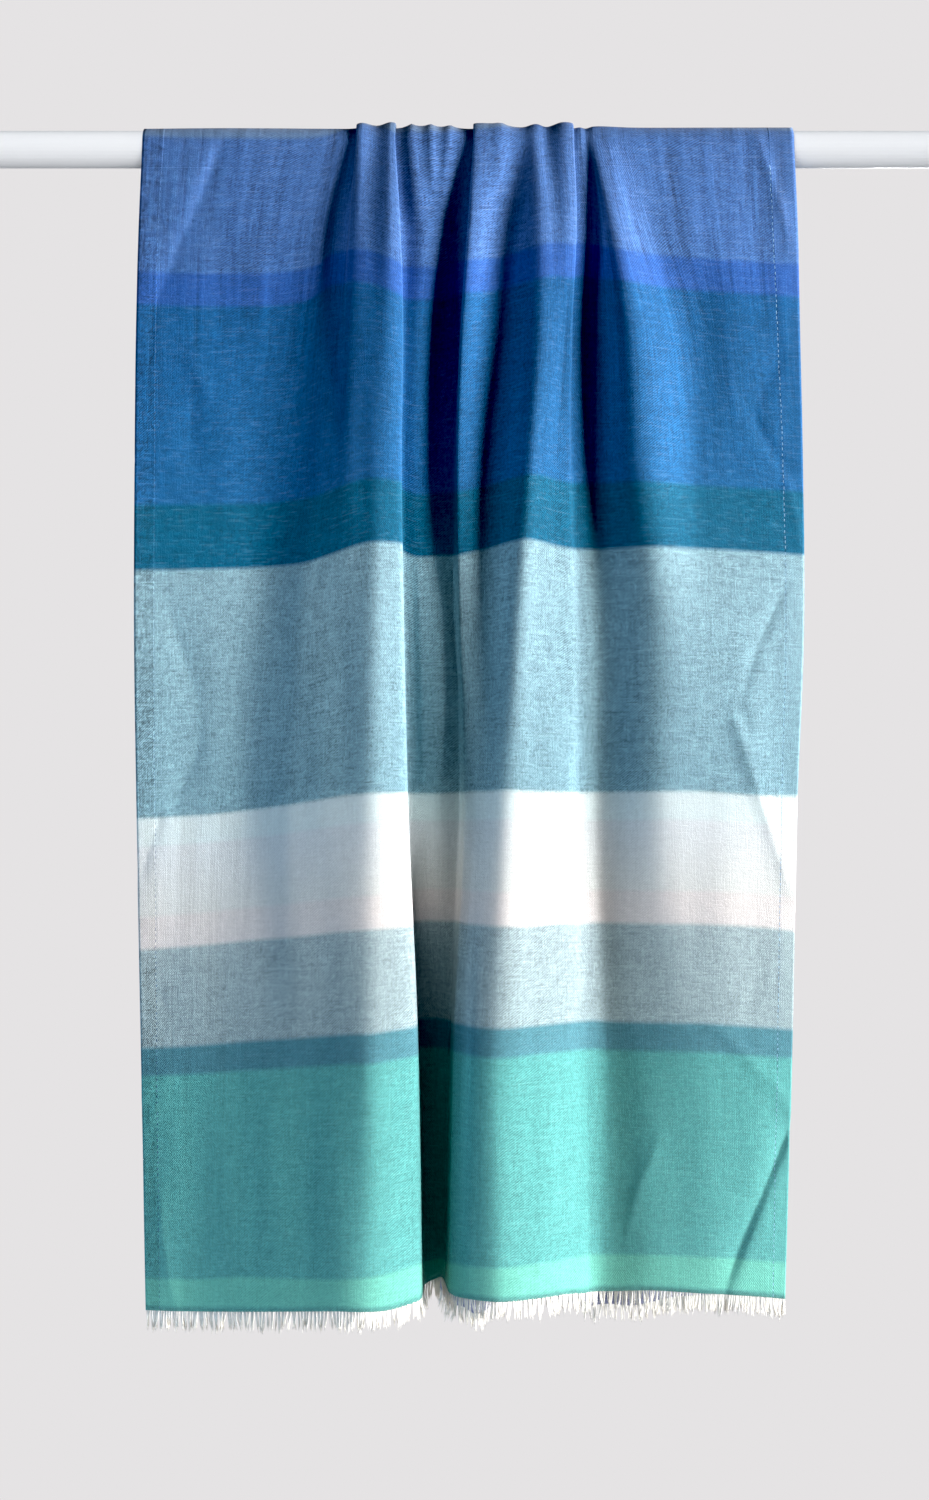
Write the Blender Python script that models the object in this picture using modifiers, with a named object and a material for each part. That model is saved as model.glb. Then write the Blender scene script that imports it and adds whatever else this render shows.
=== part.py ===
# A striped stole folded over a round rail. X runs along the rail, -Y faces the viewer and +Z is up.
# The origin is the centre of the rail. Sizes are in millimetres, and MM turns them into metres.
import math
from collections import namedtuple

import bpy
import numpy as np

MM = 0.001

# Rail
RAIL_RADIUS = 15.0
RAIL_LENGTH = 860.0
RAIL_SIDES = 32
RAIL_END_BEVEL = 1.0

# Cloth
CLOTH_WIDTH = 620.0
CLOTH_LENGTH = 1988.0
WALL = 1.2
FALL_TOP = 20.0             # how far below the rail's centre the falls part from the stretch over the rail
SEAM_GAP = 0.35
TURN_STEP = 30.0            # degrees between the rows over the rail
SPLINE_STEPS = 2            # columns between two neighbouring fold points
MEASURE_STEPS = 8           # the same, where a section's length is measured
FRONT_ROWS = 15
BACK_ROWS = 11

# Fringe
FRINGE_STRIP = 2.5
LOCK_WIDTH = 3.4
LOCK_LENGTH = 14.0
LOCK_TAPER = 0.55           # width of a lock's tip as a share of its root
LOCK_LEAN = 0.35            # how far the tips swing to either side, as a share of a lock's width
LOCK_WALL = 1.0

# Folds, from the left edge to the right edge.
# tuck: how far the cloth turns under the pleat beside it at the rail, + to the right, - to the left
# across: place along X at each of the drops below the rail's centre
# out: distance from the upright plane through the rail's centre at each drop. At the rail itself it is
#      the radius that the cloth turns at: 16.5 lies flat on the rail, and more lifts off it in a pleat
# hem: the drop of the front hem
Fold = namedtuple("Fold", "name tuck across out hem")
FRONT_DROPS = (0, 68, 152, 262, 414, 549, 751, 971)
TUCK_SHARE = (1.0, 0.6, 0.35, 0.15, 0.0, 0.0, 0.0, 0.0)
FRONT_FOLDS = (
    Fold("left edge", 0, (-269, -272, -274, -275, -275, -273, -270, -266),
         (16.5, 16, 16, 16, 16, 16, 16, 17), 974),
    Fold("left panel", 0, (-200, -208, -211, -212, -214, -217, -220, -220),
         (17, 17, 17, 17, 16, 16, 22, 27), 972),
    Fold("slope foot", 0, (-112, -131, -139, -150, -178, -187, -186, -185),
         (16.5, 16, 15.5, 16, 16, 18, 29, 37), 969),
    Fold("slope", 8, (-96, -110, -116, -120, -136, -144, -144, -142),
         (16.5, 18, 23, 27, 28, 30, 39, 51), 965),
    Fold("left pleat edge", 0, (-89, -92, -93, -93, -94, -95, -97, -96),
         (21, 29, 34, 37, 38, 42, 52, 64), 961),
    Fold("left pleat ridge", 0, (-84, -86, -84, -83, -82, -84, -86, -87),
         (21.5, 31, 36, 39, 41, 45, 56, 66), 961),
    Fold("left pleat dip", 0, (-74, -76, -74, -73, -71, -72, -75, -76),
         (18.5, 31, 38, 41, 43, 47, 58, 65), 961),
    Fold("left column crest", 0, (-63, -62, -62, -62, -60, -59, -58, -58),
         (22, 36, 40, 40, 40, 44, 54, 58), 962),
    Fold("left column edge", -9, (-58, -54, -52, -53, -50, -47, -40, -38),
         (21, 33, 34, 35, 35, 38, 44, 46), 958),
    Fold("left column foot", 0, (-56, -51, -49, -50, -44.5, -41.5, -29, -25),
         (16.5, 24, 25, 20, 9, 6, 6, 6), 956),
    Fold("small ridge", 0, (-40, -35, -40, -43, -38, -33, -23, -21),
         (18, 26, 24, 18, 2, 0, 4, 5), 952),
    Fold("middle valley", 0, (-1, -5, -15, -21, -21, -21, -19, -18.5),
         (16.5, 15, 10, 5, 4, 2, 4, 5), 950),
    Fold("right column foot", 9, (9, 6, -2, -10, -10, -8, -12, -16),
         (16.5, 18, 14, 9, 6, 6, 6, 6), 954),
    Fold("right column edge", 0, (12, 10, 1, -6, -7, -3, -6, -12),
         (21, 30, 31, 28, 9, 9, 30, 36), 953),
    Fold("right column face", 0, (25, 20, 12, 3, 1, 0, -2, -9),
         (21, 30, 30, 25, 9.5, 10, 36, 42), 955),
    Fold("face valley", 0, (50, 40, 37, 30, 20, 8, 5, -2),
         (17.5, 18, 12, 9, 14, 13, 43, 47), 955),
    Fold("right column crest", 0, (60, 65, 66, 62, 49, 36, 31, 31),
         (20.5, 30, 33, 34, 29, 29, 51, 54), 956),
    Fold("crest valley", 0, (69, 76, 75, 73, 70, 67, 64, 62),
         (18, 26, 30, 28, 21, 19, 36, 38), 957),
    Fold("right pleat ridge", 0, (82, 86, 82, 78, 80, 80, 84, 84),
         (22, 32, 31, 25, 15, 14, 20, 21), 958),
    Fold("right pleat edge", -8, (91, 93, 88, 82, 85, 87, 91, 92),
         (21, 29, 30, 24, 13, 11.5, 14, 15), 960),
    Fold("right pleat foot", 0, (93, 96, 92, 85, 88, 91, 96, 97),
         (16.5, 18, 18, 17, 12, 10.5, 12, 12.5), 960),
    Fold("second ridge", 0, (96, 101, 96, 91, 92, 95, 102, 103),
         (18, 17, 15, 14, 11.5, 9.5, 10, 10), 960),
    Fold("right valley", 0, (103, 108, 103, 100, 99, 102, 111, 116),
         (16.5, 15, 12, 11, 11, 9, 8, 8), 960),
    Fold("shoulder ridge", 0, (113, 126, 139, 147, 166, 168, 155, 155),
         (18.5, 27, 38, 37, 32, 29, 20, 17), 958),
    Fold("shoulder foot", 0, (146, 159, 184, 196, 200, 200, 196, 196),
         (17.5, 17, 17, 19, 30, 29, 25, 21), 960),
    Fold("right panel", 0, (213, 217, 226, 234, 238, 238, 237, 238),
         (17.5, 18, 18, 20, 27, 27, 25, 20), 963),
    Fold("right edge", 0, (275, 278, 280, 282, 282, 277, 274, 269),
         (17.5, 17, 17, 19, 22, 22, 20, 17), 967),
)

# The same folds on the back fall. They start at the rail where the front ones do, so a row holds only
# the places and distances at the lower drops.
BACK_DROPS = (0, 262, 549, 971)
BACK_TUCK_SHARE = (1.0, 0.2, 0.0, 0.0)
BackFold = namedtuple("BackFold", "name across out")
BACK_FOLDS = (
    BackFold("left edge", (-274, -272, -266), (16, 17, 19)),
    BackFold("left panel", (-212, -214, -206), (20, 24, 26)),
    BackFold("slope foot", (-122, -142, -150), (20, 22, 20)),
    BackFold("slope", (-104, -118, -122), (17, 13, 10)),
    BackFold("left pleat edge", (-92, -100, -100), (30, 30, 26)),
    BackFold("left pleat ridge", (-84, -88, -86), (34, 40, 40)),
    BackFold("left pleat dip", (-73, -74, -70), (34, 48, 54)),
    BackFold("left column crest", (-61, -56, -48), (37, 53, 61)),
    BackFold("left column edge", (-53, -38, -26), (34, 47, 52)),
    BackFold("left column foot", (-50, -29, -14), (22, 22, 20)),
    BackFold("small ridge", (-38, -18, -2), (20, 14, 12)),
    BackFold("middle valley", (-8, -4, 10), (13, 11, 11)),
    BackFold("right column foot", (3, 8, 22), (18, 20, 22)),
    BackFold("right column edge", (8, 15, 29), (30, 38, 40)),
    BackFold("right column face", (20, 27, 40), (33, 46, 52)),
    BackFold("face valley", (44, 43, 54), (28, 42, 54)),
    BackFold("right column crest", (58, 58, 67), (34, 38, 46)),
    BackFold("crest valley", (70, 70, 79), (28, 29, 33)),
    BackFold("right pleat ridge", (83, 84, 90), (35, 26, 22)),
    BackFold("right pleat edge", (90, 92, 98), (30, 20, 16)),
    BackFold("right pleat foot", (94, 99, 105), (22, 15, 12)),
    BackFold("second ridge", (100, 108, 116), (21, 13, 11)),
    BackFold("right valley", (112, 128, 140), (15, 15, 16)),
    BackFold("shoulder ridge", (134, 168, 184), (20, 26, 30)),
    BackFold("shoulder foot", (180, 206, 216), (18, 24, 27)),
    BackFold("right panel", (222, 240, 244), (18, 21, 23)),
    BackFold("right edge", (279, 279, 270), (16, 16, 18)),
)

# How far the gathers may grow or shrink, so that each section comes near the cloth's own width. The
# small creases of the real cloth take up the rest.
FLOOR_OUT = 8.0
LEAST_GATHER = 0.9
MOST_GATHER = 1.12
GATHER_HALVINGS = 30

# name: colour, roughness
FINISHES = {
    "rail": ((0.86, 0.86, 0.87), 0.35),
    "rail_turn": ((0.10, 0.20, 0.42), 0.85),
    "front_fall": ((0.06, 0.24, 0.34), 0.85),
    "back_fall": ((0.14, 0.20, 0.45), 0.85),
    "front_fringe": ((0.88, 0.86, 0.80), 0.9),
    "back_fringe": ((0.86, 0.85, 0.84), 0.9),
}


def clear_scene():
    for old in list(bpy.data.objects):
        bpy.data.objects.remove(old, do_unlink=True)


def make_collection(name):
    collection = bpy.data.collections.new(name)
    bpy.context.scene.collection.children.link(collection)
    return collection


def finish(name):
    colour, roughness = FINISHES[name]
    material = bpy.data.materials.new(name + "_finish")
    material.use_nodes = True
    shader = material.node_tree.nodes["Principled BSDF"]
    shader.inputs["Base Color"].default_value = (*colour, 1.0)
    shader.inputs["Roughness"].default_value = roughness
    shader.inputs["Metallic"].default_value = 0.0
    return material


def with_tucks(fold_values, tucks, shares):
    """Puts three points between a tucked fold and the next one. They run straight from one to the
    other, and at the rail two of them are moved under the pleat. fold_values is folds x drops x 3."""
    points = []
    for index, tuck in enumerate(tucks):
        here = fold_values[index]
        points.append(here)
        if tuck == 0:
            continue
        beyond = fold_values[index + 1]
        under = np.zeros_like(here)
        under[:, 0] = tuck * np.array(shares)
        moved = (1, 1, 0) if tuck > 0 else (0, 1, 1)
        for part, shift in zip((0.25, 0.5, 0.75), moved):
            points.append(here + (beyond - here) * part + under * shift)
    return np.array(points)


def spline_across(controls, steps):
    """A centripetal spline through the control points, which are points x 3. The spacing follows the
    first two values, the place across and the distance out, and the third goes with them."""
    before = 2 * controls[0] - controls[1]
    after = 2 * controls[-1] - controls[-2]
    run = np.vstack([before, controls, after])
    knots = np.sqrt(np.linalg.norm(np.diff(run[:, :2], axis=0), axis=1))
    knots = np.concatenate([[0.0], np.cumsum(knots)])
    share = np.arange(steps) / steps
    t0, t1, t2, t3 = (knots[k:len(knots) - 3 + k, None] for k in range(4))
    t = t1 + (t2 - t1) * share
    t0, t1, t2, t3, t = (value[..., None] for value in (t0, t1, t2, t3, t))
    p0, p1, p2, p3 = (run[k:len(run) - 3 + k, None, :] for k in range(4))
    a1 = ((t1 - t) * p0 + (t - t0) * p1) / (t1 - t0)
    a2 = ((t2 - t) * p1 + (t - t1) * p2) / (t2 - t1)
    a3 = ((t3 - t) * p2 + (t - t2) * p3) / (t3 - t2)
    b1 = ((t2 - t) * a1 + (t - t0) * a2) / (t2 - t0)
    b2 = ((t3 - t) * a2 + (t - t1) * a3) / (t3 - t1)
    curve = ((t2 - t) * b1 + (t - t1) * b2) / (t2 - t1)
    return np.vstack([curve.reshape(-1, controls.shape[1]), controls[-1]])


def section_length(controls):
    curve = spline_across(controls, MEASURE_STEPS)[:, :2]
    return np.linalg.norm(np.diff(curve, axis=0), axis=1).sum()


def gathered(controls, factor):
    result = controls.copy()
    result[:, 1] = FLOOR_OUT + factor * (controls[:, 1] - FLOOR_OUT)
    return result


def fit_to_width(controls):
    """Deepens or flattens the folds of one section until it is as long as the cloth is wide."""
    low, high = LEAST_GATHER, MOST_GATHER
    for _ in range(GATHER_HALVINGS):
        factor = (low + high) / 2
        if section_length(gathered(controls, factor)) < CLOTH_WIDTH:
            low = factor
        else:
            high = factor
    return gathered(controls, factor)


def smooth_down(values, levels, drop):
    """A cubic through the values at the levels, with the slope at each level from its neighbours."""
    slopes = np.gradient(values, levels, axis=1)
    cell = int(np.clip(np.searchsorted(levels, drop) - 1, 0, len(levels) - 2))
    span = levels[cell + 1] - levels[cell]
    t = (drop - levels[cell]) / span
    start, end = values[:, cell], values[:, cell + 1]
    lean_start, lean_end = slopes[:, cell] * span, slopes[:, cell + 1] * span
    return ((2 * t**3 - 3 * t**2 + 1) * start + (t**3 - 2 * t**2 + t) * lean_start
            + (3 * t**2 - 2 * t**3) * end + (t**3 - t**2) * lean_end)


def front_controls():
    """Fold points of the front fall: points x drops x (across, out, hem)."""
    table = np.array([[(x, out, fold.hem) for x, out in zip(fold.across, fold.out)]
                      for fold in FRONT_FOLDS], dtype=float)
    controls = with_tucks(table, [fold.tuck for fold in FRONT_FOLDS], TUCK_SHARE)
    for level in range(2, len(FRONT_DROPS)):
        controls[:, level] = fit_to_width(controls[:, level])
    return controls


def back_controls():
    """Fold points of the back fall. The back hem lies where the cloth's length ends."""
    table = []
    for front, back in zip(FRONT_FOLDS, BACK_FOLDS):
        turn = math.pi * front.out[0]
        hem = CLOTH_LENGTH - front.hem - turn
        places = (front.across[0], *back.across)
        outs = (front.out[0], *back.out)
        table.append([(x, out, hem) for x, out in zip(places, outs)])
    controls = with_tucks(np.array(table, dtype=float), [fold.tuck for fold in FRONT_FOLDS], BACK_TUCK_SHARE)
    for level in range(1, len(BACK_DROPS)):
        controls[:, level] = fit_to_width(controls[:, level])
    return controls


def row_at(controls, levels, drop, steps=SPLINE_STEPS):
    return spline_across(smooth_down(controls, levels, drop), steps)


def fall_points(controls, levels, side, rows):
    """The middle surface of a fall, from just under the rail to the hem. side is -1 in front and
    +1 behind."""
    grid = []
    for share in np.linspace(0.0, 1.0, rows):
        top = FALL_TOP + SEAM_GAP / 2
        line = row_at(controls, levels, top + (levels[-1] - top) * share)
        drop = top + (line[:, 2] - top) * share
        grid.append(np.column_stack([line[:, 0], side * line[:, 1], -drop]))
    return np.array(grid)


def turn_points(front, back):
    """The middle surface of the stretch over the rail, from the front fall to the back fall."""
    edge = FALL_TOP - SEAM_GAP / 2
    front_row = row_at(front, FRONT_DROPS, edge)
    back_row = row_at(back, BACK_DROPS, edge)
    flat = np.full(len(front_row), -edge)
    grid = [np.column_stack([front_row[:, 0], -front_row[:, 1], flat])]
    rail_row = row_at(front, FRONT_DROPS, 0.0)
    for angle in np.arange(-90.0, 91.0, TURN_STEP):
        around = math.radians(angle)
        grid.append(np.column_stack([rail_row[:, 0], rail_row[:, 1] * math.sin(around),
                                     rail_row[:, 1] * math.cos(around)]))
    grid.append(np.column_stack([back_row[:, 0], back_row[:, 1], flat]))
    return np.array(grid)


def add_sheet(name, points, faces, collection, thickness):
    """An open surface with a Solidify wall, half of it on each side."""
    mesh = bpy.data.meshes.new(name)
    mesh.from_pydata((np.asarray(points) * MM).tolist(), [], faces)
    mesh.shade_smooth()
    mesh.materials.append(finish(name))
    sheet = bpy.data.objects.new(name, mesh)
    collection.objects.link(sheet)
    wall = sheet.modifiers.new("wall", "SOLIDIFY")
    wall.thickness = thickness * MM
    wall.offset = 0.0
    wall.use_even_offset = True
    wall.use_quality_normals = True
    return sheet


def grid_faces(rows, columns, side):
    """Quads of a grid of points, turned so that they face away from the rail."""
    faces = []
    for row in range(rows - 1):
        for column in range(columns - 1):
            first = row * columns + column
            corners = (first, first + 1, first + columns + 1, first + columns)
            faces.append(corners if side > 0 else corners[::-1])
    return faces


def add_grid(name, grid, side, collection):
    rows, columns = grid.shape[:2]
    return add_sheet(name, grid.reshape(-1, 3), grid_faces(rows, columns, side), collection, WALL)


def hem_line(controls, levels):
    """The hem's own line of columns, each stretch of it cut into pieces about as wide as a lock."""
    line = row_at(controls, levels, levels[-1])
    points = [line[:1]]
    for start, end in zip(line[:-1], line[1:]):
        pieces = max(1, round(np.linalg.norm(end[:2] - start[:2]) / LOCK_WIDTH))
        shares = (np.arange(pieces) + 1.0) / pieces
        points.append(start + (end - start) * shares[:, None])
    return np.vstack(points)


def add_fringe(name, controls, levels, side, collection):
    """A comb: a narrow strip under the hem, and a tapered lock under every second piece of it."""
    line = hem_line(controls, levels)
    top = np.column_stack([line[:, 0], side * line[:, 1], -line[:, 2] - SEAM_GAP])
    root = top - (0.0, 0.0, FRINGE_STRIP)
    locks = len(line) // 2
    left, right = root[0:2 * locks:2], root[1:2 * locks:2]
    middle = (left + right) / 2
    number = np.arange(locks)
    length = LOCK_LENGTH * (0.9 + 0.1 * np.sin(2.4 * number) * np.sin(0.37 * number))
    tip = middle + (right - left) * (LOCK_LEAN * np.sin(1.7 * number))[:, None]
    tip[:, 2] = middle[:, 2] - length + FRINGE_STRIP
    tip_left = tip + (left - middle) * LOCK_TAPER
    tip_right = tip + (right - middle) * LOCK_TAPER
    points = np.vstack([top, root, tip_left, tip_right])
    count = len(line)
    faces = [(k, k + 1, count + k + 1, count + k) for k in range(count - 1)]
    for k in range(locks):
        tips = (2 * count + locks + k, 2 * count + k)
        faces.append((count + 2 * k, count + 2 * k + 1, *tips))
    if side < 0:
        faces = [face[::-1] for face in faces]
    return add_sheet(name, points, faces, collection, LOCK_WALL)


def add_rail(collection):
    bpy.ops.mesh.primitive_cylinder_add(vertices=RAIL_SIDES, radius=RAIL_RADIUS * MM, depth=RAIL_LENGTH * MM)
    rail = bpy.context.active_object
    rail.name = "rail"
    rail.rotation_euler = (0.0, math.pi / 2, 0.0)
    rail.data.materials.append(finish("rail"))
    rail.data.shade_smooth()
    rail.data.set_sharp_from_angle(angle=math.radians(30))
    rounded = rail.modifiers.new("rounded ends", "BEVEL")
    rounded.width = RAIL_END_BEVEL * MM
    rounded.segments = 1
    rounded.limit_method = "ANGLE"
    rounded.angle_limit = math.radians(60)
    for home in list(rail.users_collection):
        home.objects.unlink(rail)
    collection.objects.link(rail)
    return rail


def main():
    clear_scene()
    collection = make_collection("stole_on_rail")
    front = front_controls()
    back = back_controls()
    add_rail(collection)
    add_grid("rail_turn", turn_points(front, back), -1, collection)
    add_grid("front_fall", fall_points(front, FRONT_DROPS, -1, FRONT_ROWS), -1, collection)
    add_grid("back_fall", fall_points(back, BACK_DROPS, 1, BACK_ROWS), 1, collection)
    add_fringe("front_fringe", front, FRONT_DROPS, -1, collection)
    add_fringe("back_fringe", back, BACK_DROPS, 1, collection)


main()
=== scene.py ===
# A striped stole folded over a round rail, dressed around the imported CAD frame.
# X runs along the rail, -Y faces the viewer and +Z is up. The tables are in millimetres.
import math
from collections import namedtuple

import bpy
import numpy as np
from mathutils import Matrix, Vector


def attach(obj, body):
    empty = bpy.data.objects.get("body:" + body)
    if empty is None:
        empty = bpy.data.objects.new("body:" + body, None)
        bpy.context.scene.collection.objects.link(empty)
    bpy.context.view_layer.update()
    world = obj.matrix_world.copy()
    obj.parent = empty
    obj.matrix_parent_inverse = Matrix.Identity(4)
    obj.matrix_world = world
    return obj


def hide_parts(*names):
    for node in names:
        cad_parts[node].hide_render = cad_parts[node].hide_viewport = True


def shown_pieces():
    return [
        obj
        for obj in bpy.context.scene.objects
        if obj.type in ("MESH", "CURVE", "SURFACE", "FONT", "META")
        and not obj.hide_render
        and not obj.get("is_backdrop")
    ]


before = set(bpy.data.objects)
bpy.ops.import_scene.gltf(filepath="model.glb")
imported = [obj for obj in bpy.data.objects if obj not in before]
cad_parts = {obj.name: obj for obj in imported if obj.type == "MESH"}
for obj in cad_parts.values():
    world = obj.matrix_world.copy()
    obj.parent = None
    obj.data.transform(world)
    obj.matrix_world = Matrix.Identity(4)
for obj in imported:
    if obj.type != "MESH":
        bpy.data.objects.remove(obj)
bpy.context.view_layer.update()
mm = 0.001
print("frame loaded:", ", ".join(sorted(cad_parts)))

# the cut of the cloth and how finely it is made
cloth = {
    "width": 620,
    "length": 1988,
    "wall": 0.6,  # thickness of the shell
    "fallTop": 20,  # drop at which the falls part from the stretch over the rail
    "columnSpacing": 3.9,  # between two columns of points, across
    "fineSpacing": 2.4,  # the same where the cloth is creased
    "fineGaps": ("left edge", "small ridge", "middle valley", "right column foot", "right panel"),
    "creaseDepth": 1.05,  # times the heights in the crease table
    "creaseStart": 0.18,  # shares of a crease's length over which it comes and goes
    "creaseEnd": 0.25,
    "frontRows": 180,
    "backRows": 150,
    "turnRows": 22,  # around the rail
    "softening": 2,  # passes that round off the folds
    "turnDrops": (1, 0.975, 0.72, 0.45, 0.2),  # rows from the seam up to the rail, in shares of fallTop
    "leastRadius": 16.0,  # nearest that the cloth comes to the rail's axis
    "floorOut": 8,  # distance from the rail's plane about which the folds deepen or flatten
    "leastGather": 0.95,  # the least and the most that they may, to keep the cloth's width
    "mostGather": 1.05,
    "hemStation": 974,  # station of the weft thread at the front hem
    "hemBlend": 22,  # height above the hem over which the stations settle on that thread
    "rippleFull": 120,  # drop from which the ripples have their full height
    "backDip": 4.5,  # how much lower the back hem hangs behind the right column and panel
    "dipPlaces": (16, 40, 190, 225),  # across, where the dip starts, is full, last full and ends
    "backCreaseMirror": 4,  # the back's creases are the front's, turned round half of this place across
    "backCreaseDrop": 35,  # and this much higher up
    "backRippleShift": (40, 70),  # and its ripples are moved across and up by this
}

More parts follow.
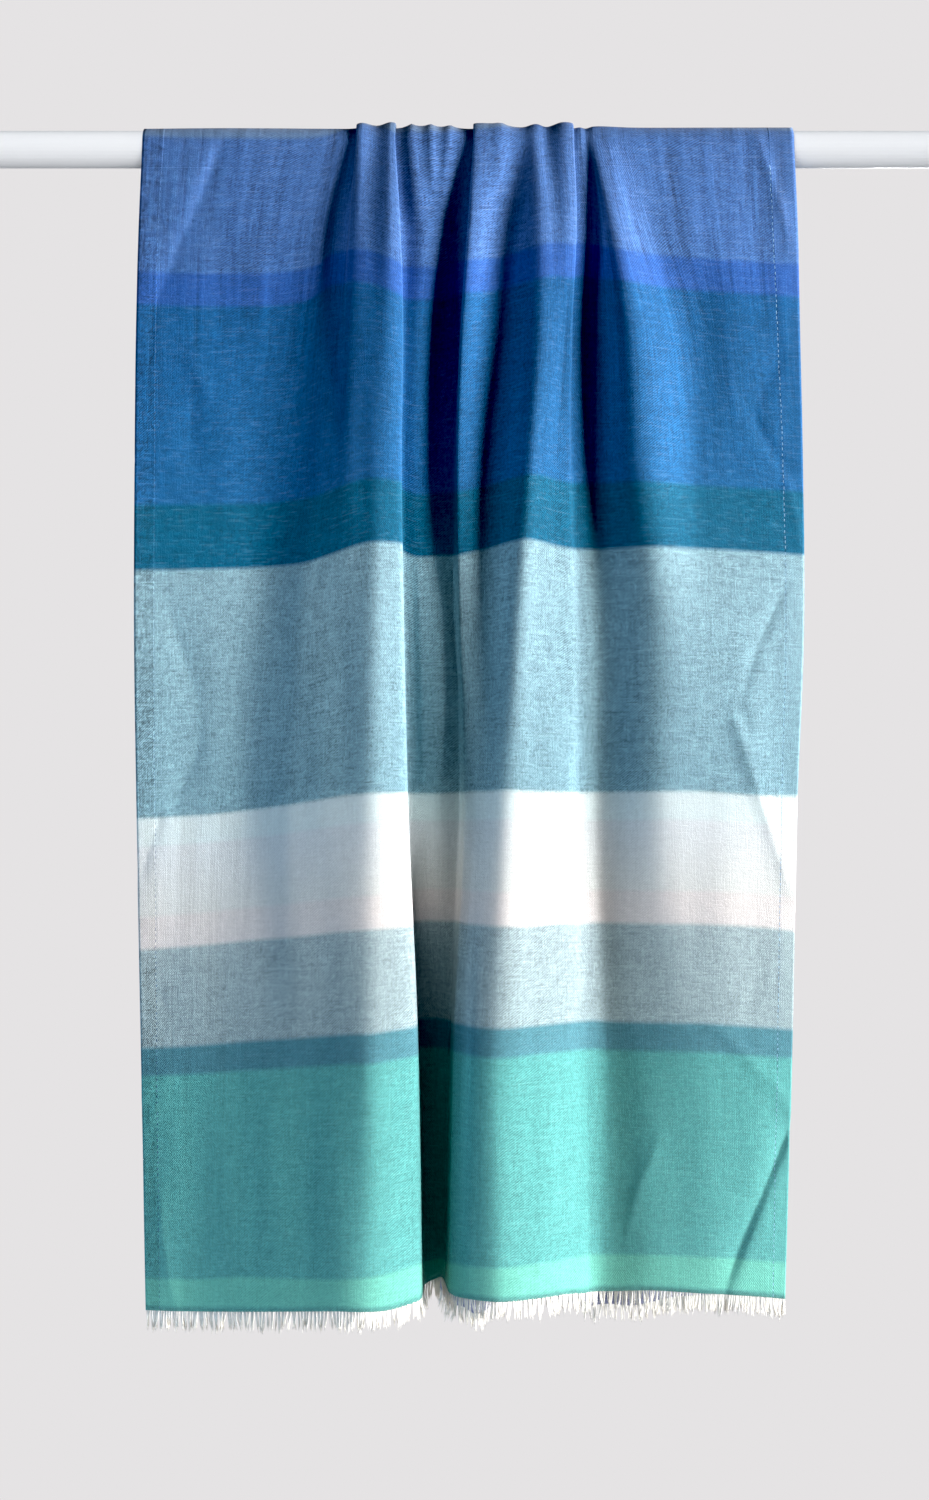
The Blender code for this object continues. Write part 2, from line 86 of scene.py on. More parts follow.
# Folds from the left edge to the right one.
# tuck: how far the cloth turns under its neighbour at the rail, + to the right
# across, out: place and distance from the rail's plane on the front, at each of the frontDrops
# hem: drop of the front hem
# rise: how much higher than at the left edge a weft thread lies, at each of the riseDrops
# backAcross, backOut: the same as across and out on the back, at each of the backDrops but the first,
# where the folds start at the rail as those of the front do
Fold = namedtuple("Fold", "name tuck across hem out rise backAcross backOut")
frontDrops = (0, 68, 152, 262, 414, 549, 751, 971)
tuckShare = (1, 0.6, 0.35, 0.15, 0, 0, 0, 0)
backDrops = (0, 262, 549, 971)
backTuckShare = (1, 0.2, 0, 0)
riseDrops = (0, 120, 330, 564, 671, 767, 946)
folds = [Fold(*row) for row in (
    ("left edge", 0, (-269, -272, -274, -275, -275, -273, -270, -266), 974,
     (16.5, 16.5, 18, 19, 21, 21, 18, 17), (0, 0, 0, 0, 0, 0, 0), (-274, -272, -266), (16, 17, 19)),
    ("left panel", 0, (-200, -208, -211, -212, -214, -217, -220, -220), 972,
     (17, 17, 17, 17, 16.5, 16.5, 22.5, 28), (-2, -2, 1, 3, 4, 3, 1), (-212, -214, -206), (20, 24, 26)),
    ("slope foot", 0, (-108, -123, -134, -147, -171, -180, -184, -185), 969,
     (16.5, 17.5, 16, 16, 15.5, 17, 29, 38.5), (3, 3, 3, 7, 8, 7, 6), (-122, -142, -150), (20, 22, 20)),
    ("slope", 8, (-96, -107, -113, -119, -136, -144, -144, -142), 965,
     (16.5, 16.5, 22, 26, 27, 30, 40, 52), (15, 15, 6, 12, 12, 11, 8), (-104, -118, -122), (17, 13, 10)),
    ("left pleat edge", 0, (-89, -92, -93, -93, -95, -97, -100, -101), 961,
     (21, 29, 34, 37, 38, 42, 53, 64), (15, 15, 17, 20, 18, 16, 11), (-92, -100, -100), (30, 30, 26)),
    ("left pleat ridge", 0, (-84, -86, -84, -83, -84, -86, -89, -91), 961,
     (21.5, 31, 36, 39, 41, 45, 56, 66), (14, 14, 20, 21, 19, 17, 12), (-84, -88, -86), (34, 40, 40)),
    ("left pleat dip", 0, (-74, -76, -74, -74, -73, -75, -77, -79), 961,
     (18.5, 31, 38, 41, 43, 47, 58.5, 66), (12, 12, 21, 22, 20, 17, 13), (-73, -74, -70), (34, 48, 54)),
    ("left column crest", 0, (-63, -62, -62, -63, -63, -61, -62, -64), 962,
     (22, 36, 40, 40, 40, 44, 54, 60), (6, 6, 21, 22, 21, 19, 14), (-61, -56, -48), (37, 53, 61)),
    ("left column edge", -9, (-58, -54, -51, -52, -50, -47, -39, -35.5), 958,
     (21, 33, 34, 35, 34, 36, 40, 42), (2, 2, 20, 22, 23, 21, 18), (-53, -38, -26), (34, 47, 52)),
    ("left column foot", 0, (-56, -51, -51, -54, -52, -49, -39, -34), 956,
     (16.5, 18, 15.5, 9.5, 0, -1, 3, 5), (4, 4, 18, 21, 22, 22, 9), (-50, -29, -14), (22, 22, 20)),
    ("small ridge", 0, (-40, -35, -40, -43, -40, -36, -28, -25), 952,
     (18, 22.5, 17, 10, 3, 2, 2, 3), (3, 3, 12, 21, 23, 22, 9), (-38, -18, -2), (20, 14, 12)),
    ("middle valley", 0, (-1, -7, -17, -21, -20, -19, -19, -18.5), 950,
     (16.5, 15, 9, 5, 7, 7.5, 4.5, 5), (6, 6, 13, 21, 23, 22, 9), (-8, -4, 10), (13, 11, 11)),
    ("right column foot", 9, (6, 0, -5, -10, -7, -4, -12, -16), 954,
     (16.5, 18, 14, 9, 9, 10, 7, 7), (9, 9, 13, 22, 23, 21, 9), (3, 8, 22), (18, 20, 22)),
    ("right column edge", 0, (8, 4, -2, -6, -4, 0, -8, -13), 953,
     (21, 30, 28, 23, 15, 19, 33, 37), (6, 6, 12, 22, 24, 23, 16), (8, 15, 29), (30, 38, 40)),
    ("right column face", 0, (20, 12, 5, 2, 3, 5, -2, -8), 955,
     (21, 29, 26.5, 20.5, 16, 22, 38, 42), (7, 7, 14, 23, 23, 23, 18), (20, 27, 40), (33, 46, 52)),
    ("face valley", 0, (48, 34, 27, 20, 17, 15, 7, 3), 955,
     (17.5, 17, 13, 11, 18, 27, 47, 50), (12, 12, 18, 23, 23, 22, 18), (44, 43, 54), (28, 42, 54)),
    ("right column crest", 0, (60, 62, 62, 54, 44, 36, 28, 28), 956,
     (20.5, 31, 33, 36, 33, 35, 53, 56), (18, 18, 24, 24, 22, 21, 18), (58, 58, 67), (34, 38, 46)),
    ("crest valley", 0, (69, 75, 74, 66, 60, 57, 60, 61), 957,
     (18, 29.5, 31, 32.5, 28.5, 29.5, 40, 42), (20, 20, 23, 23, 22, 22, 18), (70, 70, 79), (28, 29, 33)),
    ("right pleat ridge", 0, (82, 86, 84, 77, 75, 75, 84, 87), 958,
     (22, 29.5, 27, 27.5, 24, 25.3, 25, 26), (19, 19, 20, 23, 23, 22, 18), (83, 84, 90), (35, 26, 22)),
    ("right pleat edge", -8, (91, 92.5, 89, 87, 89, 88, 95, 99), 960,
     (21, 27, 25.5, 24.5, 20, 21, 17, 18), (19, 19, 18, 22, 22, 22, 18), (90, 92, 98), (30, 20, 16)),
    ("right pleat foot", 0, (93, 96, 93, 92, 96, 95, 102, 105), 960,
     (16.5, 18, 18, 17, 16, 15, 13, 13.5), (23, 23, 18, 22, 22, 22, 18), (94, 99, 105), (22, 15, 12)),
    ("second ridge", 0, (96, 101, 97, 97, 104, 104, 109, 112), 960,
     (18, 17, 15, 14, 14.5, 12.5, 11, 11), (23, 23, 18, 22, 22, 22, 17), (100, 108, 116), (21, 13, 11)),
    ("right valley", 0, (101, 107, 104, 105, 113, 112, 117, 122), 960,
     (16.5, 15, 12, 11, 13, 11, 9.5, 11), (23, 23, 18, 22, 22, 21, 17), (112, 128, 140), (15, 15, 16)),
    ("shoulder ridge", 0, (109, 121, 136, 144, 160, 162, 155, 155), 958,
     (18.5, 28, 38, 37, 32, 28, 17.5, 15.5), (15, 15, 18, 23, 22, 21, 18), (134, 168, 184), (20, 26, 30)),
    ("shoulder foot", 0, (140, 155, 181, 193, 196, 196, 196, 196), 960,
     (17.5, 18, 17, 19, 30, 28, 22.5, 17.5), (13, 13, 17, 23, 22, 21, 17), (180, 206, 216), (18, 24, 27)),
    ("right panel", 0, (213, 217, 226, 234, 238, 238, 237, 238), 963,
     (17.5, 18, 18, 20, 27, 26, 20.5, 14.5), (9, 9, 15, 20, 20, 18, 14), (222, 240, 244), (18, 21, 23)),
    ("right edge", 0, (275, 278, 280, 282, 282, 277, 274, 269), 967,
     (17.5, 17, 17, 19, 22, 21, 16, 9.5), (6, 6, 12, 19, 16, 15, 10), (279, 279, 270), (16, 16, 18)),
)]

# Small creases pressed into the cloth. height is towards the viewer, so a trough is below zero. left and
# right are the widths of its two flanks, at its start and at its end. points are (across, drop).
Crease = namedtuple("Crease", "name height left right points")
creases = [Crease(*row) for row in (
    ("first small gather", 3.0, (4, 6), (4, 8), ((-46, -48), (-44, 12), (-40, 68))),
    ("second small gather", 2.6, (4, 5), (4, 6), ((-29, -46), (-28, 8), (-25, 44))),
    ("third small gather", 2.6, (4, 5), (4, 6), ((-11, -46), (-14, 12), (-20, 52))),
    ("gather on the right column", 2.4, (4, 5), (4, 7), ((31, -46), (29, 10), (27, 48))),
    ("pull from the rail, left", -2.2, (3, 9), (14, 22),
     ((-200, -5), (-212, 22), (-227, 59), (-245, 99), (-257, 133), (-260, 150))),
    ("dark end of the left pull", -0.8, (4, 4), (3, 3), ((-259, 135), (-261, 165), (-262, 191))),
    ("short ridge, left", 1.2, (5, 5), (6, 7), ((-232, 175), (-222, 196), (-211, 216))),
    ("left cheek", -1.3, (9, 10), (9, 12), ((-224, 213), (-229, 238), (-228, 258), (-234, 273))),
    ("nick at the left edge", -0.9, (3, 3), (3, 3), ((-281, 266), (-269, 263), (-256, 258))),
    ("tick in the dark band", 0.9, (2, 3), (3, 2), ((-221, 305), (-224, 318))),
    ("long left line, upper", -1.9, (6, 13), (13, 18), ((-250, 386), (-239, 415), (-229, 445), (-218, 483))),
    ("long left line, lower", -1.5, (11, 9), (6, 7), ((-218, 488), (-224, 512), (-236, 538), (-245, 562))),
    ("left edge triangle", -1.8, (14, 12), (7, 7), ((-251, 558), (-262, 588), (-272, 618))),
    ("left blink", -1, (4, 4), (3, 3), ((-262, 703), (-256, 709), (-247, 718))),
    ("left tuck, upper", 1.1, (3, 3), (4, 4), ((-272, 802), (-261, 787), (-241, 778))),
    ("left tuck, lower", 1, (3, 3), (5, 6), ((-266, 819), (-254, 802), (-246, 795))),
    ("left foot wedge", 1.4, (10, 16), (6, 7), ((-253, 865), (-251, 907), (-246, 944), (-236, 980))),
    ("pull from the rail, right", 1.5, (7, 9), (3.2, 3.4), ((243, -10), (253, 20), (262, 46), (268, 66))),
    ("right pull, lower", 1.3, (8, 10), (3.4, 8), ((262, 46), (268, 69), (276, 100))),
    ("right cheek", -1.5, (10, 12), (8, 8), ((268, 169), (258, 191), (244, 213), (226, 216))),
    ("right curl", -1.4, (6, 5), (4, 5), ((241, 223), (245, 236), (256, 256), (273, 278))),
    ("right corner lift", 1.2, (9, 9), (4, 4), ((266, 273), (275, 306), (280, 345))),
    ("long right line, upper", -1.6, (6, 6), (3.5, 4),
     ((270, 368), (261, 382), (245, 417), (233, 452), (228, 468))),
    ("right knot", -1.3, (3, 3), (3, 3), ((224, 470), (231, 478), (238, 498))),
    ("long right line, lower", 2.2, (5, 8), (16, 20),
     ((221, 475), (229, 498), (238, 525), (246, 552), (256, 582), (266, 610), (279, 642))),
    ("right blink", -1.2, (4, 5), (3, 3), ((253, 697), (243, 707), (234, 718))),
    ("right arc, upper", 1.5, (5, 8), (7, 10),
     ((201, 733), (221, 747), (235, 762), (244, 773), (257, 783), (269, 802), (277, 824))),
    ("right arc, short", 1, (3, 3), (4, 4), ((235, 748), (253, 756), (276, 765))),
    ("blade at the right foot", -3.2, (9, 12), (3.5, 2.5),
     ((276, 814), (271, 827), (256, 864), (245, 890), (231, 924), (221, 952), (217, 965))),
    ("faint line at the right foot", 1, (4, 4), (6, 7), ((166, 824), (156, 847), (145, 872), (136, 915))),
    ("line under the right column", -1.6, (1.6, 1.6), (1.4, 1.6),
     ((-10, 345), (-10, 382), (-7, 432), (-3, 470), (2, 478), (10, 479))),
    ("slot wall", -1.2, (2, 2), (2, 2), ((-43, 348), (-42, 415), (-40, 482), (-39, 548))),
)]

print("tables read:", len(folds), "folds,", len(creases), "creases")


def withTucks(values, shares=None):
    # a quarter, half and three quarters of the way to the next fold, two of them moved by tuck x share
    table = np.array(values, float)
    rows = []
    for index, tuck in enumerate(fold.tuck for fold in folds):
        rows.append(table[index])
        if tuck:
            way = table[index + 1] - table[index]
            under = np.zeros_like(way)
            if shares is not None:
                under[:, 0] = tuck * np.array(shares)
            moved = (1, 1, 0) if tuck > 0 else (0, 1, 1)
            rows += [table[index] + way * part + under * shift
                     for part, shift in zip((0.25, 0.5, 0.75), moved)]
    return np.array(rows)


def smoothDown(values, levels, drops):
    # a cubic through the values at the levels, its slope at each level taken from the neighbours
    levels = np.array(levels, float)
    slopes = np.gradient(values, levels, axis=1)
    cell = np.clip(np.searchsorted(levels, drops) - 1, 0, len(levels) - 2)
    span = levels[cell + 1] - levels[cell]
    t = ((drops - levels[cell]) / span)[None, :, None]
    span = span[None, :, None]
    return ((2 * t**3 - 3 * t**2 + 1) * values[:, cell] + (t**3 - 2 * t**2 + t) * span * slopes[:, cell]
            + (3 * t**2 - 2 * t**3) * values[:, cell + 1] + (t**3 - t**2) * span * slopes[:, cell + 1])


def splineAcross(controls, counts):
    # centripetal Catmull-Rom: the spacing of its knots is the root of the distance in (across, out)
    run = np.concatenate([2 * controls[:1] - controls[1:2], controls, 2 * controls[-1:] - controls[-2:-1]])
    steps = np.sqrt(np.linalg.norm(np.diff(run[..., :2], axis=0), axis=2))
    knots = np.concatenate([np.zeros_like(steps[:1]), np.cumsum(steps, axis=0)])
    gap = np.append(np.repeat(np.arange(len(counts)), counts), len(counts) - 1)
    share = np.append(np.concatenate([np.arange(count) / count for count in counts]), 1.0)
    t0, t1, t2, t3 = (knots[gap + k][..., None] for k in range(4))
    p0, p1, p2, p3 = (run[gap + k] for k in range(4))
    t = t1 + (t2 - t1) * share[:, None, None]

    def between(low, high, first, second):
        return ((high - t) * first + (t - low) * second) / (high - low)

    a1, a2, a3 = between(t0, t1, p0, p1), between(t1, t2, p1, p2), between(t2, t3, p2, p3)
    return between(t1, t2, between(t0, t2, a1, a2), between(t1, t3, a2, a3))


def sectionLength(controls, counts):
    line = splineAcross(controls, counts)[..., :2]
    return np.linalg.norm(np.diff(line, axis=0), axis=2).sum(axis=0)


def fitToWidth(controls, first):
    # halves the range of the gather until every level from the first one on is as long as the cloth is wide
    fitted = controls.copy()
    counts = [8] * (len(controls) - 1)
    low = np.full(controls.shape[1] - first, cloth["leastGather"])
    high = np.full(controls.shape[1] - first, cloth["mostGather"])
    for _ in range(30):
        factor = (low + high) / 2
        fitted[:, first:, 1] = cloth["floorOut"] + factor * (controls[:, first:, 1] - cloth["floorOut"])
        short = sectionLength(fitted[:, first:], counts) < cloth["width"]
        low, high = np.where(short, factor, low), np.where(short, high, factor)
    return fitted


frontTable = [list(zip(fold.across, fold.out)) for fold in folds]
backTable = [[(fold.across[0], fold.out[0]), *zip(fold.backAcross, fold.backOut)] for fold in folds]
front = fitToWidth(withTucks(frontTable, tuckShare), 2), frontDrops
back = fitToWidth(withTucks(backTable, backTuckShare), 1), backDrops
riseTable = withTucks([[(rise,) for rise in fold.rise] for fold in folds])
endTable = withTucks([[(fold.hem, fold.out[0])] for fold in folds])
print("folds fitted to the width:", len(riseTable), "points in a section")

# columns in every gap between two fold points, the same for the three stretches so that their edges meet
gapLength = np.linalg.norm(np.diff(front[0], axis=0), axis=2).max(axis=1)
gapNames = [name for fold in folds for name in [fold.name] * (4 if fold.tuck else 1)]
spacing = [cloth["fineSpacing"] if name in cloth["fineGaps"] else cloth["columnSpacing"]
           for name in gapNames[:-1]]
columnCounts = [int(count) for count in np.maximum(2, np.round(gapLength / spacing))]


def creaseField(across, drop):
    # height x exp(-(distance / flank)^1.15) beside each line, faded in and out at its two ends
    total = np.zeros_like(across)
    for crease in creases:
        points = np.array(crease.points, float)
        reach = 3 * max(crease.left + crease.right)
        near = ((across > points[:, 0].min() - reach) & (across < points[:, 0].max() + reach)
                & (drop > points[:, 1].min() - reach) & (drop < points[:, 1].max() + reach))
        place = np.column_stack([across[near], drop[near]])
        if not len(place):
            continue
        start, way = points[:-1], np.diff(points, axis=0)
        length = np.linalg.norm(way, axis=1)
        offset = place[:, None, :] - start
        along = np.clip((offset * way).sum(axis=2) / length**2, 0, 1)
        rest = offset - along[..., None] * way
        distance = np.linalg.norm(rest, axis=2)
        best = distance.argmin(axis=1)
        pick = np.arange(len(place)), best
        side = way[best, 0] * offset[pick][:, 1] - way[best, 1] * offset[pick][:, 0]
        before = np.concatenate([[0], np.cumsum(length)])[best]
        walked = (before + along[pick] * length[best]) / length.sum()
        left, right = (start + (end - start) * walked for start, end in (crease.left, crease.right))
        flank = np.where(side > 0, left, right)
        fade = np.clip(walked / cloth["creaseStart"], 0, 1) * np.clip((1 - walked) / cloth["creaseEnd"], 0, 1)
        height = cloth["creaseDepth"] * crease.height
        total[near] += height * np.exp(-(distance[pick] / flank) ** 1.15) * np.sqrt(fade)
    return total


def ripples(across, drop):
    # slow waves of under a millimetre that run down the cloth
    return (0.45 * np.sin(across / 13.0 + drop / 160.0) * np.sin(drop / 90.0 + 1.3)
            + 0.30 * np.sin(across / 7.1 - drop / 230.0 + 2.0) * np.sin(drop / 61.0))


def softened(line):
    # a quarter of both neighbours and half of the point itself
    for _ in range(cloth["softening"]):
        line[1:-1] = (line[:-2] + 2 * line[1:-1] + line[2:]) / 4
    return line


def sectionRows(controls, levels, drops):
    # columns x rows x (across, out, rise, drop of the front hem, radius at the rail)
    parts = [smoothDown(controls, levels, drops),
             smoothDown(riseTable, riseDrops, np.minimum(drops, riseDrops[-1])),
             np.repeat(endTable, len(drops), axis=1)]
    return softened(splineAcross(np.concatenate(parts, axis=2), columnCounts))


def rowShares(count):
    # even shares with one more row close to each seam, so that the shading meets across it
    shares = np.linspace(0, 1, count)
    return np.insert(shares, 1, 0.0006)


def relief(across, drop, side):
    # creases + ripples, which fade out towards the rail
    if side < 0:
        marks, waves = creaseField(across, drop), ripples(across, drop)
    else:
        marks = creaseField(cloth["backCreaseMirror"] - across, drop + cloth["backCreaseDrop"])
        waves = ripples(across + cloth["backRippleShift"][0], drop + cloth["backRippleShift"][1])
    return marks + waves * np.clip(drop / cloth["rippleFull"], 0, 1)


def backStations(drop, hem, start, radius):
    # station = rise - half a turn of the rail - drop, and the rise shifts until the hem is one weft thread
    backHem = cloth["length"] - hem - math.pi * radius
    rising = start + (cloth["hemStation"] - hem - start) * drop / backHem
    return rising - math.pi * radius - drop


def frontGrid():
    # drop = top + (hem drop - top) x share, and station = drop + rise
    top, last = cloth["fallTop"], frontDrops[-1]
    share = rowShares(cloth["frontRows"])[::-1]
    line = sectionRows(*front, top + (last - top) * share)
    across, out, rise, hem, _ = line.T
    drop = top + (hem - top) * share[:, None]
    out = out + relief(across, drop, -1)
    atHem = np.clip((drop - hem) / cloth["hemBlend"] + 1, 0, 1)
    station = drop + rise + (cloth["hemStation"] - hem - rise[:1]) * atHem**2 * (3 - 2 * atHem)
    return np.stack([across, -out, -drop], axis=2), station


def backGrid():
    # drop = top + (cut length - front hem drop - half a turn of the rail + dip - top) x share
    top, last = cloth["fallTop"], backDrops[-1]
    share = rowShares(cloth["backRows"])
    line = sectionRows(*back, top + (last - top) * share)
    across, out, _, hem, radius = line.T
    start = sectionRows(*front, np.zeros(1))[:, 0, 2]
    backHem = cloth["length"] - hem - math.pi * radius
    dip = cloth["backDip"] * np.interp(across[-1], cloth["dipPlaces"], (0, 1, 1, 0))
    drop = top + (backHem + dip - top) * share[:, None]
    out = out + relief(across, drop, 1)
    return np.stack([across, out, -drop], axis=2), backStations(drop, hem, start, radius)


def turnGrid():
    # radius = rail radius x (1 - slope x angle x e^-angle x cos^2 angle), which carries on both falls' slopes
    drops = cloth["fallTop"] * np.array(cloth["turnDrops"])
    level, behind = (sectionRows(*fall, np.array([0.0, 2.0])) for fall in (front, back))
    across, radius, start = level[:, 0, :3].T
    frontSlope, backSlope = ((line[:, 1, 1] - line[:, 0, 1]) / 2 for line in (level, behind))
    angle = np.linspace(0, math.pi, cloth["turnRows"])[:, None]

    def carried(turned):
        return np.where(turned < math.pi / 2, turned * np.exp(-turned) * np.cos(turned) ** 2, 0)

    around = radius * (1 - frontSlope * carried(angle) - backSlope * carried(math.pi - angle))
    wide = np.broadcast_to(across, around.shape)
    around = np.maximum(around + creaseField(wide, -radius * angle), cloth["leastRadius"])
    middle = np.stack([wide, -around * np.cos(angle), around * np.sin(angle)], axis=2)
    middleStation = start - radius * angle

    def flat(fall, side):
        # the short upright stretch between a seam and the rail
        x, out, rise, hem, _ = sectionRows(*fall, drops).T
        down = np.broadcast_to(drops[:, None], x.shape)
        out = out + relief(x, down, side)
        station = down + rise if side < 0 else backStations(down, hem, start, radius)
        return np.stack([x, side * out, -down], axis=2), station

    before, beforeStation = flat(front, -1)
    after, afterStation = flat(back, 1)
    return (np.concatenate([before, middle, after[::-1]]),
            np.concatenate([beforeStation, middleStation, afterStation[::-1]]))


frontPoints, frontStation = frontGrid()
backPoints, backStation = backGrid()
turnPoints, turnStation = turnGrid()

# place across the cloth of each column: its mean over the rows, stretched to the cut width
lengths = np.linalg.norm(np.diff(frontPoints[..., :2], axis=1), axis=2)
placed = np.cumsum(lengths, axis=1) / lengths.sum(axis=1)[:, None]
columnPlace = np.concatenate([[0], placed.mean(axis=0)]) * cloth["width"]
print("cloth surfaces:", frontPoints.shape, turnPoints.shape, backPoints.shape)


def linkObject(name, data):
    thing = bpy.data.objects.new(name, data)
    bpy.context.scene.collection.objects.link(thing)
    return thing


def addMesh(name, points, faces, size):
    # points in metres, faces all with the same number of corners
    mesh = bpy.data.meshes.new(name)
    mesh.vertices.add(len(points))
    mesh.vertices.foreach_set("co", points.astype(np.float32).ravel())
    mesh.loops.add(faces.size)
    mesh.loops.foreach_set("vertex_index", faces.astype(np.int32).ravel())
    mesh.polygons.add(len(faces))
    mesh.polygons.foreach_set("loop_start", np.arange(0, faces.size, size, dtype=np.int32))
    mesh.update(calc_edges=True)
    mesh.validate()
    mesh.shade_smooth()
    return mesh


def addCloth(name, points, station):
    # a quad between each four points, mapped by (place across, station) in metres
    rows, columns = points.shape[:2]
    first = (np.arange(rows - 1)[:, None] * columns + np.arange(columns - 1)).ravel()
    faces = np.stack([first, first + 1, first + columns + 1, first + columns], axis=1)
    mesh = addMesh(name, points.reshape(-1, 3) * mm, faces, 4)
    place = np.stack([np.broadcast_to(columnPlace, station.shape), station], axis=2).reshape(-1, 2) * mm
    layer = mesh.uv_layers.new(name="cloth")
    layer.data.foreach_set("uv", place[faces.ravel()].astype(np.float32).ravel())
    sheet = linkObject(name, mesh)
    wall = sheet.modifiers.new("wall", "SOLIDIFY")
    wall.thickness = cloth["wall"] * mm
    wall.offset = 0.0
    wall.use_quality_normals = True
    return sheet


frontCloth = addCloth("frontCloth", frontPoints, frontStation)
railCloth = addCloth("railCloth", turnPoints, turnStation)
backCloth = addCloth("backCloth", backPoints, backStation)
print("cloth pieces built")


def ringTriangles(counts):
    # two for each step around two rings that follow each other, and one where a ring is a tip
    corners, low = [], 0
    for here, there in zip(counts, counts[1:]):
        high = low + here
        for k in range(max(here, there)):
            near, nearNext = low + k % here, low + (k + 1) % here
            far, farNext = high + k % there, high + (k + 1) % there
            corners += [(near, far, farNext)] * (there > 1) + [(near, farNext, nearNext)] * (here > 1)
        low = high
    return corners


def addRepeated(name, vertices, corners):
    # the same triangles on every row of vertices
    first = np.arange(len(vertices))[:, None, None] * vertices.shape[1]
    faces = (first + np.array(corners)[None]).reshape(-1, 3)
    return linkObject(name, addMesh(name, vertices.reshape(-1, 3) * mm, faces, 3))


# loose warp ends under each hem
fringe = {
    "threads": 2600,
    "length": 15.5,
    "unevenness": 2.4,
    "radius": 0.26,
    "lock": 2.6,  # width of the locks that the threads cling together in
    "rootGap": 0.28,  # how far the threads of a lock are drawn together at the hem
    "cling": 0.4,  # the most that they are drawn together at their tips
    "lean": 1.5,  # how far a lock's tip leans to a side, and forward or back
    "forward": 1.2,
    "stray": 0.5,  # how far a thread's tip strays from its lock's
    "shortest": 6.0,
    "longest": 22.0,
    "seed": 7,
}


def addFringe(name, points, side, seed, lengthShare):
    # each thread runs from the hem through two rings of three points to a tip drawn towards its lock's middle
    chance = np.random.default_rng(seed)
    count = fringe["threads"]
    place = np.sort(chance.uniform(0.4, cloth["width"] - 0.4, count))
    line = points[0] if side < 0 else points[-1]
    root = np.stack([np.interp(place, columnPlace, line[:, k]) for k in range(3)], axis=1)
    lockAt = np.floor(place / fringe["lock"] + 0.35 * np.sin(place / 11.0))
    lockId = (lockAt - lockAt.min()).astype(int)
    inLock = np.bincount(lockId)
    middle = np.stack([np.bincount(lockId, root[:, k]) for k in range(3)], axis=1)
    middle = (middle / np.maximum(inLock, 1)[:, None])[lockId]

    def drawn(lockSpread, threadSpread):
        # a number for each lock plus one for each thread
        return chance.normal(0, lockSpread, inLock.size)[lockId] + chance.normal(0, threadSpread, count)

    lean = drawn(fringe["lean"], fringe["stray"])
    forward = drawn(fringe["forward"], fringe["stray"])
    length = fringe["length"] * lengthShare + drawn(fringe["unevenness"] * 0.5, fringe["unevenness"] * 0.6)
    length = np.clip(length, fringe["shortest"], fringe["longest"])
    cling = chance.uniform(0.0, fringe["cling"], inLock.size)[lockId]
    root[:, 0] += (middle[:, 0] - root[:, 0]) * fringe["rootGap"]
    rings = []
    for share, thick in ((0.0, 1.0), (0.4, 0.95), (0.78, 0.8), (1.0, 0.0)):
        centre = root + (middle - root) * (cling * share)[:, None]
        centre[:, 0] += lean * share**1.5
        centre[:, 1] += forward * share**1.5
        centre[:, 2] = root[:, 2] + 0.6 - (length + 0.6) * share
        spin = np.arange(3) * (2 * math.pi / 3)
        ring = centre[:, None, :] + fringe["radius"] * thick * np.stack(
            [np.cos(spin), np.sin(spin), 0 * spin], axis=1)
        rings.append(ring if thick else centre[:, None, :])
    vertices = np.concatenate(rings, axis=1)
    return addRepeated(name, vertices, ringTriangles((3, 3, 3, 1)) + [(0, 1, 2)])


frontFringe = addFringe("frontFringe", frontPoints, -1, fringe["seed"], 1.0)
backFringe = addFringe("backFringe", backPoints, 1, fringe["seed"] + 4, 0.9)
print("fringes built")

# the line that holds down the narrow turned hem along both long edges
stitch = {
    "fromEdge": 15.2,
    "pitch": 4.6,
    "length": 3.0,
    "width": 0.6,
    "thickness": 0.3,
    "lift": 0.225,  # how far its middle stands off the middle of the cloth
    "taper": 0.8,  # share of its length between the two pointed ends
    "shortest": 0.75,  # the least and the most of its length
    "longest": 1.1,
    "sway": 0.25,  # how far it lies off the line
    "slip": 0.12,  # and off its place along it, as a share of the pitch
    "seed": 21,
}


def gridPlace(points, row, place):
    # between the four nearest points of the grid, by row number and place across
    column = np.interp(place, columnPlace, np.arange(len(columnPlace)))
    low, left = np.floor(row).astype(int), np.floor(column).astype(int)
    low, left = np.clip(low, 0, points.shape[0] - 2), np.clip(left, 0, points.shape[1] - 2)
    up, along = (row - low)[:, None], (column - left)[:, None]
    return ((points[low, left] * (1 - along) + points[low, left + 1] * along) * (1 - up)
            + (points[low + 1, left] * (1 - along) + points[low + 1, left + 1] * along) * up)


def unit(vectors):
    return vectors / np.linalg.norm(vectors, axis=1)[:, None]


